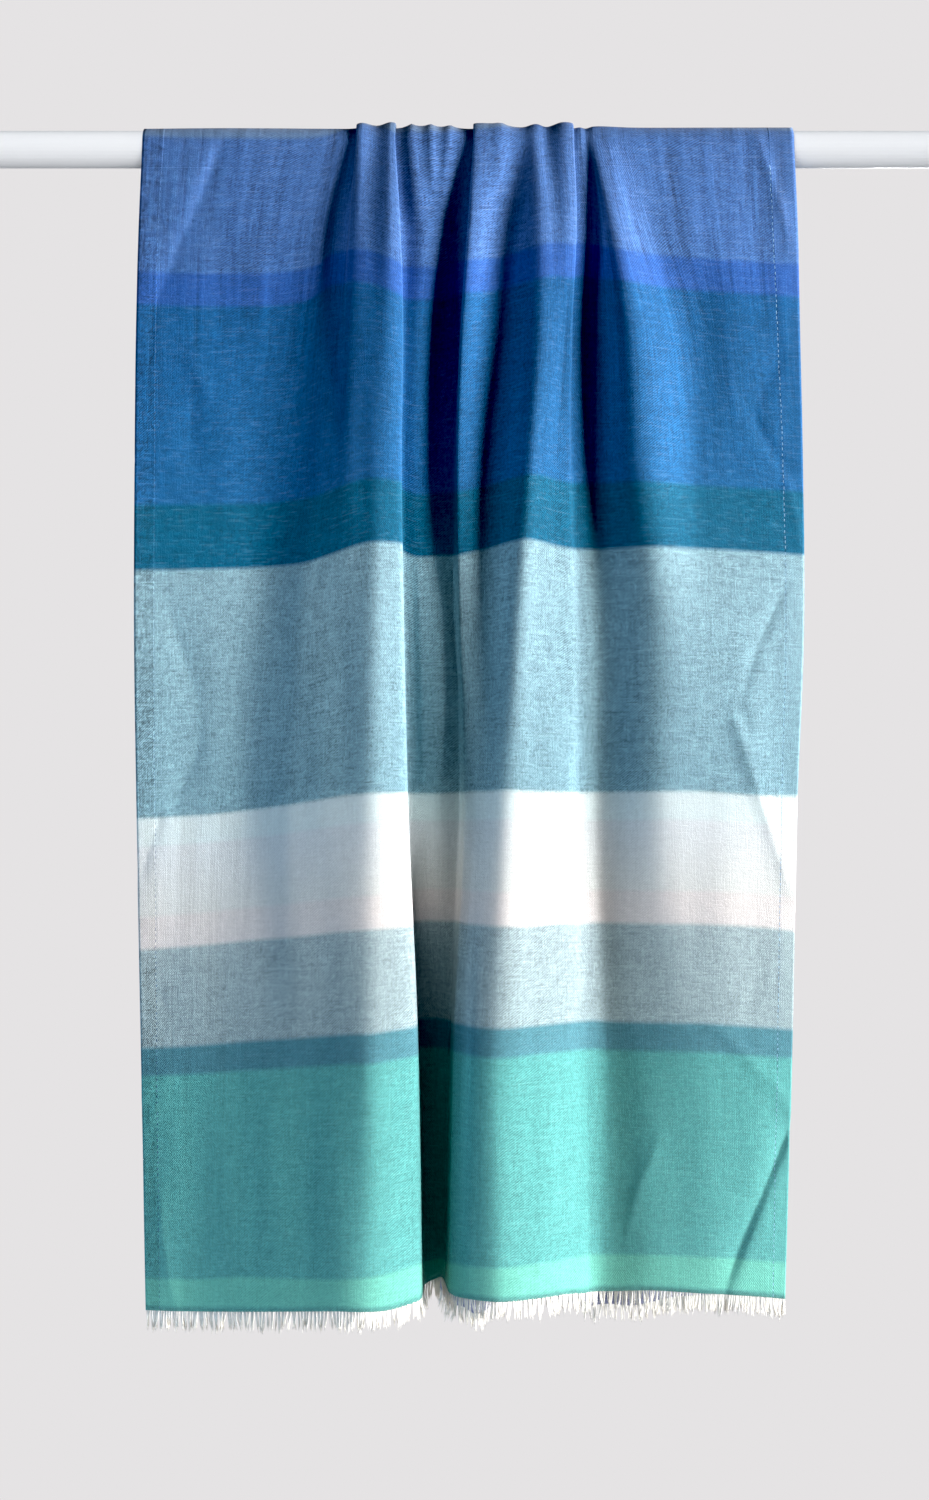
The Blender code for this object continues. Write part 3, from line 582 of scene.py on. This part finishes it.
def addStitches(name, grids):
    # a six-sided bar for each stitch, centre + run x length, side x width and out x thickness
    chance = np.random.default_rng(stitch["seed"])
    bars = []
    for points in grids:
        tall = np.linalg.norm(np.diff(points[:, 4], axis=0), axis=1).sum()
        count = int(tall / stitch["pitch"])
        for edge in (stitch["fromEdge"], cloth["width"] - stitch["fromEdge"]):
            slip = chance.uniform(-stitch["slip"], stitch["slip"], count)
            row = (np.arange(count) + 0.5 + slip) / count * (points.shape[0] - 1)
            place = edge + chance.uniform(-stitch["sway"], stitch["sway"], count)
            down = unit(gridPlace(points, row + 0.2, place) - gridPlace(points, row - 0.2, place))
            wide = unit(gridPlace(points, row, place + 1) - gridPlace(points, row, place - 1))
            out = unit(np.cross(wide, down))
            bars.append((gridPlace(points, row, place) + out * stitch["lift"], down, wide, out))
    centre, run, side, out = (np.concatenate(part)[:, None] for part in zip(*bars))
    share = chance.uniform(stitch["shortest"], stitch["longest"], len(centre))[:, None, None]
    turn = np.arange(6) * math.pi / 3
    ring = (side * (np.cos(turn) * stitch["width"] / 2)[None, :, None]
            + out * (np.sin(turn) * stitch["thickness"] / 2)[None, :, None])
    half = run * stitch["length"] / 2 * share
    body = half * stitch["taper"]
    vertices = np.concatenate([centre - half, centre - body + ring, centre + body + ring, centre + half], axis=1)
    return addRepeated(name, vertices, ringTriangles((1, 6, 6, 1)))


stitches = addStitches("hemStitches", (frontPoints, backPoints))
print("stitches built")

bandBlend = 0.15  # half of the height over which two bands meet
# Weft bands: station where each starts, its colour, the colour at its end where that is another one, and how
# heathered it is
frontBands = (
    (-20, (112, 142, 182), (108, 140, 184), 0.6),
    (-6.9, (75, 115, 178), (78, 122, 188), 1.0),
    (106.6, (50, 103, 184), None, 0.7),
    (134.4, (20, 100, 160), (30, 110, 168), 0.85),
    (301.2, (0, 106, 142), None, 0.9),
    (356.5, (152, 190, 202), (136, 177, 190), 1.0),
    (564.2, (232, 246, 246), None, 0.2),
    (589.0, (232, 238, 240), (232, 234, 230), 0.25),
    (646.0, (236, 230, 227), None, 0.25),
    (671.9, (170, 190, 194), (162, 184, 188), 0.8),
    (754.6, (85, 143, 156), None, 0.5),
    (779.6, (96, 176, 172), (98, 178, 174), 0.55),
    (945.8, (120, 206, 188), None, 0.35),
    (970.2, (96, 176, 168), None, 0.5),
    (972.6, (122, 206, 190), None, 0.35),
    (980.0, None, None, None),
)
backBands = (
    (-1020, (176, 178, 210), None, 0.4),
    (-900, (132, 146, 204), None, 0.7),
    (-690, (72, 84, 172), None, 0.7),
    (-640, (52, 108, 182), (40, 98, 172), 0.85),
    (-420, (24, 104, 142), None, 0.9),
    (-330, (130, 164, 190), None, 1.0),
    (-150, (196, 222, 228), None, 0.3),
    (-110, (112, 140, 178), (112, 142, 182), 0.6),
    (0, None, None, None),
)


def linear(colour):
    # ((c + 0.055) / 1.055)^2.4 above the short straight part of the curve
    share = np.array(colour) / 255
    return tuple(np.where(share > 0.04045, ((share + 0.055) / 1.055) ** 2.4, share / 12.92))


def addNode(tree, kind, inputs=(), **settings):
    # a shader node of a kind, whose inputs are (name or number, socket or value) pairs
    made = tree.nodes.new("ShaderNode" + kind)
    for name, value in settings.items():
        setattr(made, name, value)
    for name, value in inputs:
        if isinstance(value, bpy.types.NodeSocket):
            tree.links.new(value, made.inputs[name])
        else:
            made.inputs[name].default_value = value
    return made


def calculate(tree, operation, *values, clamp=False):
    made = addNode(tree, "Math", list(enumerate(values)), operation=operation, use_clamp=clamp)
    return made.outputs[0]


def apart(tree, vector):
    return addNode(tree, "SeparateXYZ", [(0, vector)]).outputs


def objectPlace(tree):
    return addNode(tree, "TexCoord").outputs["Object"]


def mapRange(tree, value, low, high, first=0.0, last=1.0):
    # first at low, last at high, and a straight line between them
    pairs = [(0, value), (1, low), (2, high), (3, first), (4, last)]
    return addNode(tree, "MapRange", pairs).outputs[0]


def addNoise(tree, place, scale, detail):
    pairs = [("Vector", place), ("Scale", scale), ("Detail", detail)]
    return addNode(tree, "TexNoise", pairs).outputs[0]


def mixColours(tree, part, first, second):
    return addNode(tree, "Mix", [(0, part), (6, first), (7, second)], data_type="RGBA").outputs[2]


def newMaterial(name, roughness, others=()):
    # a material with its node tree and shader, and the constants that don't vary over the piece
    material = bpy.data.materials.new(name)
    material.use_nodes = True
    shader = material.node_tree.nodes["Principled BSDF"]
    shader.inputs["Roughness"].default_value = roughness
    for socket, value in others:
        shader.inputs[socket].default_value = value
    return material, material.node_tree, shader


def scaled(tree, colour, shade):
    return addNode(tree, "VectorMath", [(0, colour), (3, shade)], operation="SCALE").outputs[0]


def addBump(tree, shader, height, strength, distance):
    bump = addNode(tree, "Bump", [("Height", height), ("Strength", strength), ("Distance", distance)])
    tree.links.new(bump.outputs[0], shader.inputs["Normal"])


def fillRamp(ramp, bands):
    # two stops for every band, just inside its two ends, with its heather in the alpha
    start, end = bands[0][0], bands[-1][0]
    stops = []
    for band, following in zip(bands, bands[1:]):
        station, first, last, heather = band
        stops += [(station + bandBlend, first, heather), (following[0] - bandBlend, last or first, heather)]
    for station, _, _ in stops[2:]:
        ramp.elements.new((station - start) / (end - start))
    for stop, (station, colour, heather) in zip(ramp.elements, stops):
        stop.position = (station - start) / (end - start)
        stop.color = (*linear(colour), heather)


weaveLook = {
    "twill": 0.0021,  # metres from one twill line to the next, across
    "weft": 0.00115,  # metres that one weft thread fills
    "warp": 0.0010,
    # how much each signal adds to the light and dark of the threads, and to their height
    "heatherParts": {"weft": 0.2, "longWeft": 0.08, "warp": 0.18, "grain": 0.22, "patch": 0.05, "twill": 0.36},
    "heightParts": {"twill": 0.5, "warp": 0.35, "weft": 0.2, "grain": 0.15, "patch": 0.3},
}


def weaveGroup():
    # threads at a place (across, station) on the cloth, in metres: each weft and warp thread has its own run
    # of light and dark, and the twill is a sine of across + station
    group = bpy.data.node_groups.new("clothWeave", "ShaderNodeTree")
    group.interface.new_socket("Place", in_out="INPUT", socket_type="NodeSocketVector")
    for name in ("Height", "Heather", "Slub", "Streak"):
        group.interface.new_socket(name, in_out="OUTPUT", socket_type="NodeSocketFloat")
    source = group.nodes.new("NodeGroupInput").outputs["Place"]
    across, station, _ = apart(group, source)

    def times(value, factor):
        return calculate(group, "MULTIPLY", value, factor)

    def number(value, width):
        return calculate(group, "FLOOR", times(value, 1 / width))

    def thread(value, width):
        # a different number for every thread, far enough apart for the noise
        return times(number(value, width), 7.31)

    def noiseAt(first, second, seed, detail=1.0):
        # signed value noise, about -1 to 1
        place = addNode(group, "CombineXYZ", [(0, first), (1, second), (2, seed)]).outputs[0]
        return calculate(group, "MULTIPLY_ADD", addNoise(group, place, 1.0, detail), 3.0, -1.5)

    def total(parts):
        # sum of signal x part
        names = list(parts)
        added = times(signals[names[0]], parts[names[0]])
        for name in names[1:]:
            added = calculate(group, "MULTIPLY_ADD", signals[name], parts[name], added)
        return added

    weftWidth, warpWidth = weaveLook["weft"], weaveLook["warp"]
    twill = calculate(group, "SINE", times(calculate(group, "ADD", across, station),
                                           2 * math.pi / weaveLook["twill"]))
    longWarp = noiseAt(thread(across, warpWidth * 1.9), times(station, 12), 8.1)
    pairs = [(0, number(across, warpWidth)), (1, number(station, weftWidth))]
    crossing = addNode(group, "CombineXYZ", pairs).outputs[0]
    grain = addNode(group, "TexWhiteNoise", [("Vector", crossing)], noise_dimensions="2D").outputs[0]
    signals = {
        "weft": noiseAt(times(across, 95), thread(station, weftWidth), 3.7),
        "longWeft": noiseAt(times(across, 24), thread(station, weftWidth * 1.6), 9.3),
        "warp": noiseAt(thread(across, warpWidth), times(station, 80), 5.5),
        "grain": calculate(group, "MULTIPLY_ADD", grain, 2.0, -1.0),
        "patch": noiseAt(times(across, 130), times(station, 150), 1.2, 2.0),
    }
    signals["twill"] = calculate(group, "MULTIPLY", twill,
                                 calculate(group, "MULTIPLY_ADD", signals["patch"], 0.4, 0.7))
    # long narrow streaks: in the colour they are painted shade of fine wrinkles, the warp's own tone coming from
    # longWarp
    streak = noiseAt(times(across, 125), times(station, 6), 1.9, 2.5)
    results = {
        "Height": total(weaveLook["heightParts"]),
        "Heather": total(weaveLook["heatherParts"]),
        "Slub": mapRange(group, signals["weft"], 0.15, 0.9),
        "Streak": calculate(group, "MULTIPLY_ADD", longWarp, 0.7, streak),
    }
    sink = group.nodes.new("NodeGroupOutput")
    for name, socket in results.items():
        group.links.new(socket, sink.inputs[name])
    return group


weave = weaveGroup()

clothLook = {
    "roughness": 0.82,
    "sheen": 0.12,
    "specular": 0.25,
    "bump": 0.8,
    "bumpDepth": 0.0004,
    "depth": 0.65,  # share of the table's colour that the threads give back
    "darkest": 0.2,  # least share of that
    "heather": 1.15,  # strength of light and dark along the threads
    "shift": 0.0003,  # how far a band's edge wanders with the threads
    "slub": (0.52, 0.53, 0.55, 1),  # colour of the thick pale threads, and their strength
    "slubPart": 0.06,
    "warpToneAndStreakShade": 0.05,  # strength of the long streaks where the cloth is plain: the warp's own tone, and painted shade of fine vertical wrinkles
    "pressedWithShade": 0.30,  # and where it was pressed into fine pleats, whose shade is painted in the streaks, with their height
    "pressedHeight": 0.9,
    "pressedHeather": -0.2,
    # where it was: windows across and down in metres (start, full, last, end), and a strength
    "pressedPlaces": (
        ((0.36, 0.44, 0.62, 0.7), (-0.3, -0.2, 0.08, 0.34), 1.0),
        ((-0.1, 0.0, 0.14, 0.24), (-0.3, -0.2, 0.1, 0.26), 1.0),
        ((-0.1, 0.0, 0.07, 0.13), (0.5, 0.58, 0.7, 0.9), 0.4),
    ),
    # the turned hems: a window across, and what they add to the heather and to the shade; that shade is painted
    # shade on the left hem and painted light on the right one
    "hems": (
        ((-2, -1, 0.0147, 0.0153), 0.5, -0.14),
        ((0.6047, 0.6053, 1, 2), -0.3, 0.02),
    ),
}


def clothMaterial(name):
    # weft colour from the station x (1 + heather + hems + streaks); the hems and the streaks also paint shade and
    # light into it
    look = clothLook
    others = (("Sheen Weight", look["sheen"]), ("Specular IOR Level", look["specular"]))
    material, tree, shader = newMaterial(name, look["roughness"], others)
    place = addNode(tree, "UVMap", uv_map="cloth").outputs[0]
    across, station, _ = apart(tree, place)
    threads = addNode(tree, "Group", node_tree=weave)
    tree.links.new(place, threads.inputs["Place"])
    heather, streak = threads.outputs["Heather"], threads.outputs["Streak"]

    def times(first, second):
        return calculate(tree, "MULTIPLY", first, second)

    def plus(value, part, other):
        # value x part + other
        return calculate(tree, "MULTIPLY_ADD", value, part, other)

    def window(value, limits):
        # 0 before the start, 1 from full to last, 0 after the end
        begin, full, last, end = limits
        return times(mapRange(tree, value, begin, full), mapRange(tree, value, last, end, 1.0, 0.0))

    station = plus(heather, look["shift"], station)
    ramps, heathers = [], []
    for bands in (frontBands, backBands):
        at = mapRange(tree, station, bands[0][0] * mm, bands[-1][0] * mm)
        ramp = addNode(tree, "ValToRGB", [(0, at)])
        fillRamp(ramp.color_ramp, bands)
        ramps.append(ramp.outputs[0])
        heathers.append(ramp.outputs[1])
    isFront = calculate(tree, "GREATER_THAN", station, (frontBands[0][0] + 1) * mm)
    colour = mixColours(tree, isFront, ramps[1], ramps[0])
    heathered = addNode(tree, "Mix", [(0, isFront), (2, heathers[1]), (3, heathers[0])]).outputs[0]

    pressedWithShade = 0.0
    for placeAcross, placeDown, strength in look["pressedPlaces"]:
        patch = times(times(window(across, placeAcross), window(station, placeDown)), strength)
        pressedWithShade = calculate(tree, "MAXIMUM", pressedWithShade, patch)
    hems = [(window(across, limits), contrast, light) for limits, contrast, light in look["hems"]]
    contrast = plus(pressedWithShade, look["pressedHeather"], 1.0)
    for hem, more, _ in hems:
        contrast = plus(hem, more, contrast)
    change = times(times(heather, times(heathered, look["heather"])), contrast)
    # painted shade on the left hem strip, painted light on the right one
    for hem, _, hemPaintedLightAndShade in hems:
        change = plus(hem, hemPaintedLightAndShade, change)
    # painted shade of fine wrinkles and pressed pleats, over the warp's own streaks
    change = plus(streak, plus(pressedWithShade, look["pressedWithShade"], look["warpToneAndStreakShade"]), change)
    shade = times(calculate(tree, "MAXIMUM", calculate(tree, "ADD", change, 1.0), look["darkest"]),
                  look["depth"])
    whiten = times(times(threads.outputs["Slub"], heathered), look["slubPart"])
    whitened = mixColours(tree, whiten, scaled(tree, colour, shade), look["slub"])
    tree.links.new(whitened, shader.inputs["Base Color"])
    height = plus(times(streak, pressedWithShade), look["pressedHeight"], threads.outputs["Height"])
    height = calculate(tree, "ADD", height, calculate(tree, "ADD", hems[0][0], hems[1][0]))
    addBump(tree, shader, height, look["bump"], look["bumpDepth"])
    return material


clothFinish = clothMaterial("stripedTwill")
for sheet in (frontCloth, railCloth, backCloth):
    sheet.data.materials.append(clothFinish)

# noise and grain: how fine they are. least, change: the shade is least + change x noise
fringeLook = {"colour": (246, 241, 231), "roughness": 0.85, "sheen": 0.1, "noise": 240,
              "least": 0.8, "change": 0.3}
railLook = {"colour": (238, 238, 240), "roughness": 0.5, "coat": 0.15, "grain": (6, 240, 240),
            "least": 0.975, "change": 0.05, "bump": 0.12, "bumpDepth": 0.0003}
# light and dark are lit and shaded copies of the one thread colour, painted; rightSidePaintedLight is painted
# light on the right side's stitches
stitchLook = {"light": (150, 190, 222), "dark": (26, 66, 102), "roughness": 0.8, "noise": 180,
              "rightSidePaintedLight": 0.8, "darker": 0.45}


def tinted(tree, shader, look, noise):
    # the piece's colour x (least + change x noise)
    tint = addNode(tree, "RGB").outputs[0]
    tint.default_value = (*linear(look["colour"]), 1)
    shade = calculate(tree, "MULTIPLY_ADD", noise, look["change"], look["least"])
    tree.links.new(scaled(tree, tint, shade), shader.inputs["Base Color"])


def fringeMaterial():
    # warm white with a slow change from lock to lock
    look = fringeLook
    others = (("Sheen Weight", look["sheen"]),)
    material, tree, shader = newMaterial("looseWarpEnds", look["roughness"], others)
    tinted(tree, shader, look, addNoise(tree, objectPlace(tree), look["noise"], 2.0))
    return material


def stitchMaterial():
    # one thread, drawn between a shaded and a lit copy of its colour by a noise as long as a few stitches:
    # painted shade on the left stitches, which lie in the groove's shadow, and painted light on the right ones
    look = stitchLook
    material, tree, shader = newMaterial("hemThread", look["roughness"])
    place = objectPlace(tree)
    toRight = calculate(tree, "GREATER_THAN", apart(tree, place)[0], 0.0)
    noise = calculate(tree, "SUBTRACT", addNoise(tree, place, look["noise"], 1.0), look["darker"])
    # painted light on the stitches of the right side, painted shade on those of the left
    part = calculate(tree, "MULTIPLY_ADD", toRight, look["rightSidePaintedLight"], noise, clamp=True)
    colour = mixColours(tree, part, (*linear(look["dark"]), 1), (*linear(look["light"]), 1))
    tree.links.new(colour, shader.inputs["Base Color"])
    return material


def railMaterial():
    # white satin paint with the faint long grain of the wood under it
    look = railLook
    others = (("Coat Weight", look["coat"]),)
    material, tree, shader = newMaterial("whiteSatinPaint", look["roughness"], others)
    along = addNode(tree, "Mapping", [("Vector", objectPlace(tree)), ("Scale", look["grain"])]).outputs[0]
    grain = addNoise(tree, along, 1.0, 3.0)
    tinted(tree, shader, look, grain)
    addBump(tree, shader, grain, look["bump"], look["bumpDepth"])
    return material


fringeFinish = fringeMaterial()
for ends in (frontFringe, backFringe):
    ends.data.materials.append(fringeFinish)
stitches.data.materials.append(stitchMaterial())
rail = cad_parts["rail"]
rail.data.materials.clear()
rail.data.materials.append(railMaterial())
print("materials built")

# lights, floor and camera
studio = {
    "background": (229, 227, 228),
    "black": 0.012,  # light below this is printed black, as in the photo
    "worldLight": 0.09,
    "worldTint": (0.55, 0.85, 1.1),
    "floorHeight": -1.6,
    "floorRadius": 1.0,
    "floorFade": (0.55, 0.98),  # where the floor starts to fade into the background, and where it is gone
    "floorSides": 96,
    "floorRoughness": 0.9,
    "lens": 42.65,
    "sensor": 36,
    "cameraPlace": (0, -1.5, -0.5066),
}


def addFloor():
    # a disc whose edge fades into the background
    sides = studio["floorSides"]
    number = np.arange(sides)
    spin = number * (2 * math.pi / sides)
    ring = np.stack([np.cos(spin), np.sin(spin), 0 * spin], axis=1) * studio["floorRadius"]
    points = np.vstack([[0, 0, 0], ring]) + (0, 0, studio["floorHeight"])
    faces = np.stack([0 * number, number + 1, (number + 1) % sides + 1], axis=1)
    mesh = addMesh("floor", points, faces, 3)
    others = (("Base Color", (*linear(studio["background"]), 1)),)
    material, tree, shader = newMaterial("paleFloor", studio["floorRoughness"], others)
    squares = [calculate(tree, "POWER", part, 2.0) for part in apart(tree, objectPlace(tree))[:2]]
    far = calculate(tree, "SQRT", calculate(tree, "ADD", *squares))
    tree.links.new(mapRange(tree, far, *studio["floorFade"], 1.0, 0.0), shader.inputs["Alpha"])
    mesh.materials.append(material)
    return linkObject("floor", mesh)


floor = addFloor()
floor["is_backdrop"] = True

# Square area lights: where each stands and aims, its side in metres, its power and tint, and what it lights
Lamp = namedtuple("Lamp", "name place target size power tint lit")
white = (1, 1, 1)
fringes = (frontFringe, backFringe)
clothPieces = (frontCloth, railCloth, backCloth, *fringes, stitches)
lamps = (
    Lamp("keyLight", (4.3, -1.5, -0.1), (0, 0, -0.5), 2.0, 830, white, clothPieces),
    Lamp("fillLight", (-1.9, -0.6, -1.15), (0, 0, -0.85), 0.5, 28, (0.58, 0.83, 1.12), clothPieces),
    Lamp("backLight", (1.6, 2.5, 0.3), (0, 0, -0.5), 1.6, 125, white, (*clothPieces, rail)),
    Lamp("floorLight", (0, 0, 1.5), (0, 0, -1.6), 2.0, 125, (1, 0.95, 0.92), (floor,)),
    Lamp("railTopLight", (0, -0.9, 2.0), (0, 0, 0), 2.6, 30, white, (rail,)),
    Lamp("railFrontLight", (0, -2.2, 0.2), (0, 0, 0), 2.6, 40, white, (rail,)),
    Lamp("railUnderLight", (0, -0.8, -1.4), (0, 0, 0), 1.6, 14, white, (rail,)),
    Lamp("railEndLight", (-2.5, 0, 0.2), (0, 0, 0), 0.8, 9, white, (rail,)),
    Lamp("railEndLight", (2.5, 0, 0.2), (0, 0, 0), 0.8, 9, white, (rail,)),
    Lamp("fringeLight", (0.4, -1.7, -1.5), (0, 0, -0.99), 1.2, 9, (1, 0.98, 0.95), fringes),
)
for lamp in lamps:
    light = bpy.data.lights.new(lamp.name, "AREA")
    light.size = lamp.size
    light.energy = lamp.power
    light.color = lamp.tint
    thing = linkObject(lamp.name, light)
    thing.location = lamp.place
    thing.rotation_euler = (Vector(lamp.target) - Vector(lamp.place)).to_track_quat("-Z", "Y").to_euler()
    receivers = bpy.data.collections.new(lamp.name + "Receivers")
    for receiver in lamp.lit:
        receivers.objects.link(receiver)
    thing.light_linking.receiver_collection = receivers

# the camera sees the plain background, and everything else gets the dim light of the world
world = bpy.data.worlds.new("studioWorld")
world.use_nodes = True
bpy.context.scene.world = world
worldTree = world.node_tree
worldTree.nodes.clear()
seenColour = [part * (1 - studio["black"]) + studio["black"] for part in linear(studio["background"])]
seen = addNode(worldTree, "Background", [("Color", (*seenColour, 1)), ("Strength", 1.0)])
dim = addNode(worldTree, "Background", [("Color", (*studio["worldTint"], 1)), ("Strength", studio["worldLight"])])
isSeen = addNode(worldTree, "LightPath").outputs["Is Camera Ray"]
both = addNode(worldTree, "MixShader", [(0, isSeen), (1, dim.outputs[0]), (2, seen.outputs[0])])
addNode(worldTree, "OutputWorld", [("Surface", both.outputs[0])])

lens = bpy.data.cameras.new("photoCamera")
lens.lens = studio["lens"]
lens.sensor_width = studio["sensor"]
camera = linkObject("photoCamera", lens)
camera.location = studio["cameraPlace"]
camera.rotation_euler = (math.pi / 2, 0, 0)
bpy.context.scene.camera = camera
view = bpy.context.scene.view_settings
view.view_transform = "Standard"
view.use_curve_mapping = True
view.curve_mapping.black_level = [studio["black"]] * 3
view.curve_mapping.update()
print("lights, floor and camera placed:", len(lamps), "lamps")

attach(stitches, "root")
for piece, node, finish in (
        (frontCloth, "front_fall", "front_cloth"), (railCloth, "rail_turn", "turn_cloth"),
        (backCloth, "back_fall", "back_cloth"), (frontFringe, "front_fringe", "front_fringe"),
        (backFringe, "back_fringe", "back_fringe")):
    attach(piece, "root")
    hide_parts(node)

bpy.context.view_layer.update()
corners = []
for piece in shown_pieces():
    shown = piece.evaluated_get(bpy.context.evaluated_depsgraph_get())
    corners += [piece.matrix_world @ Vector(corner) for corner in shown.bound_box]
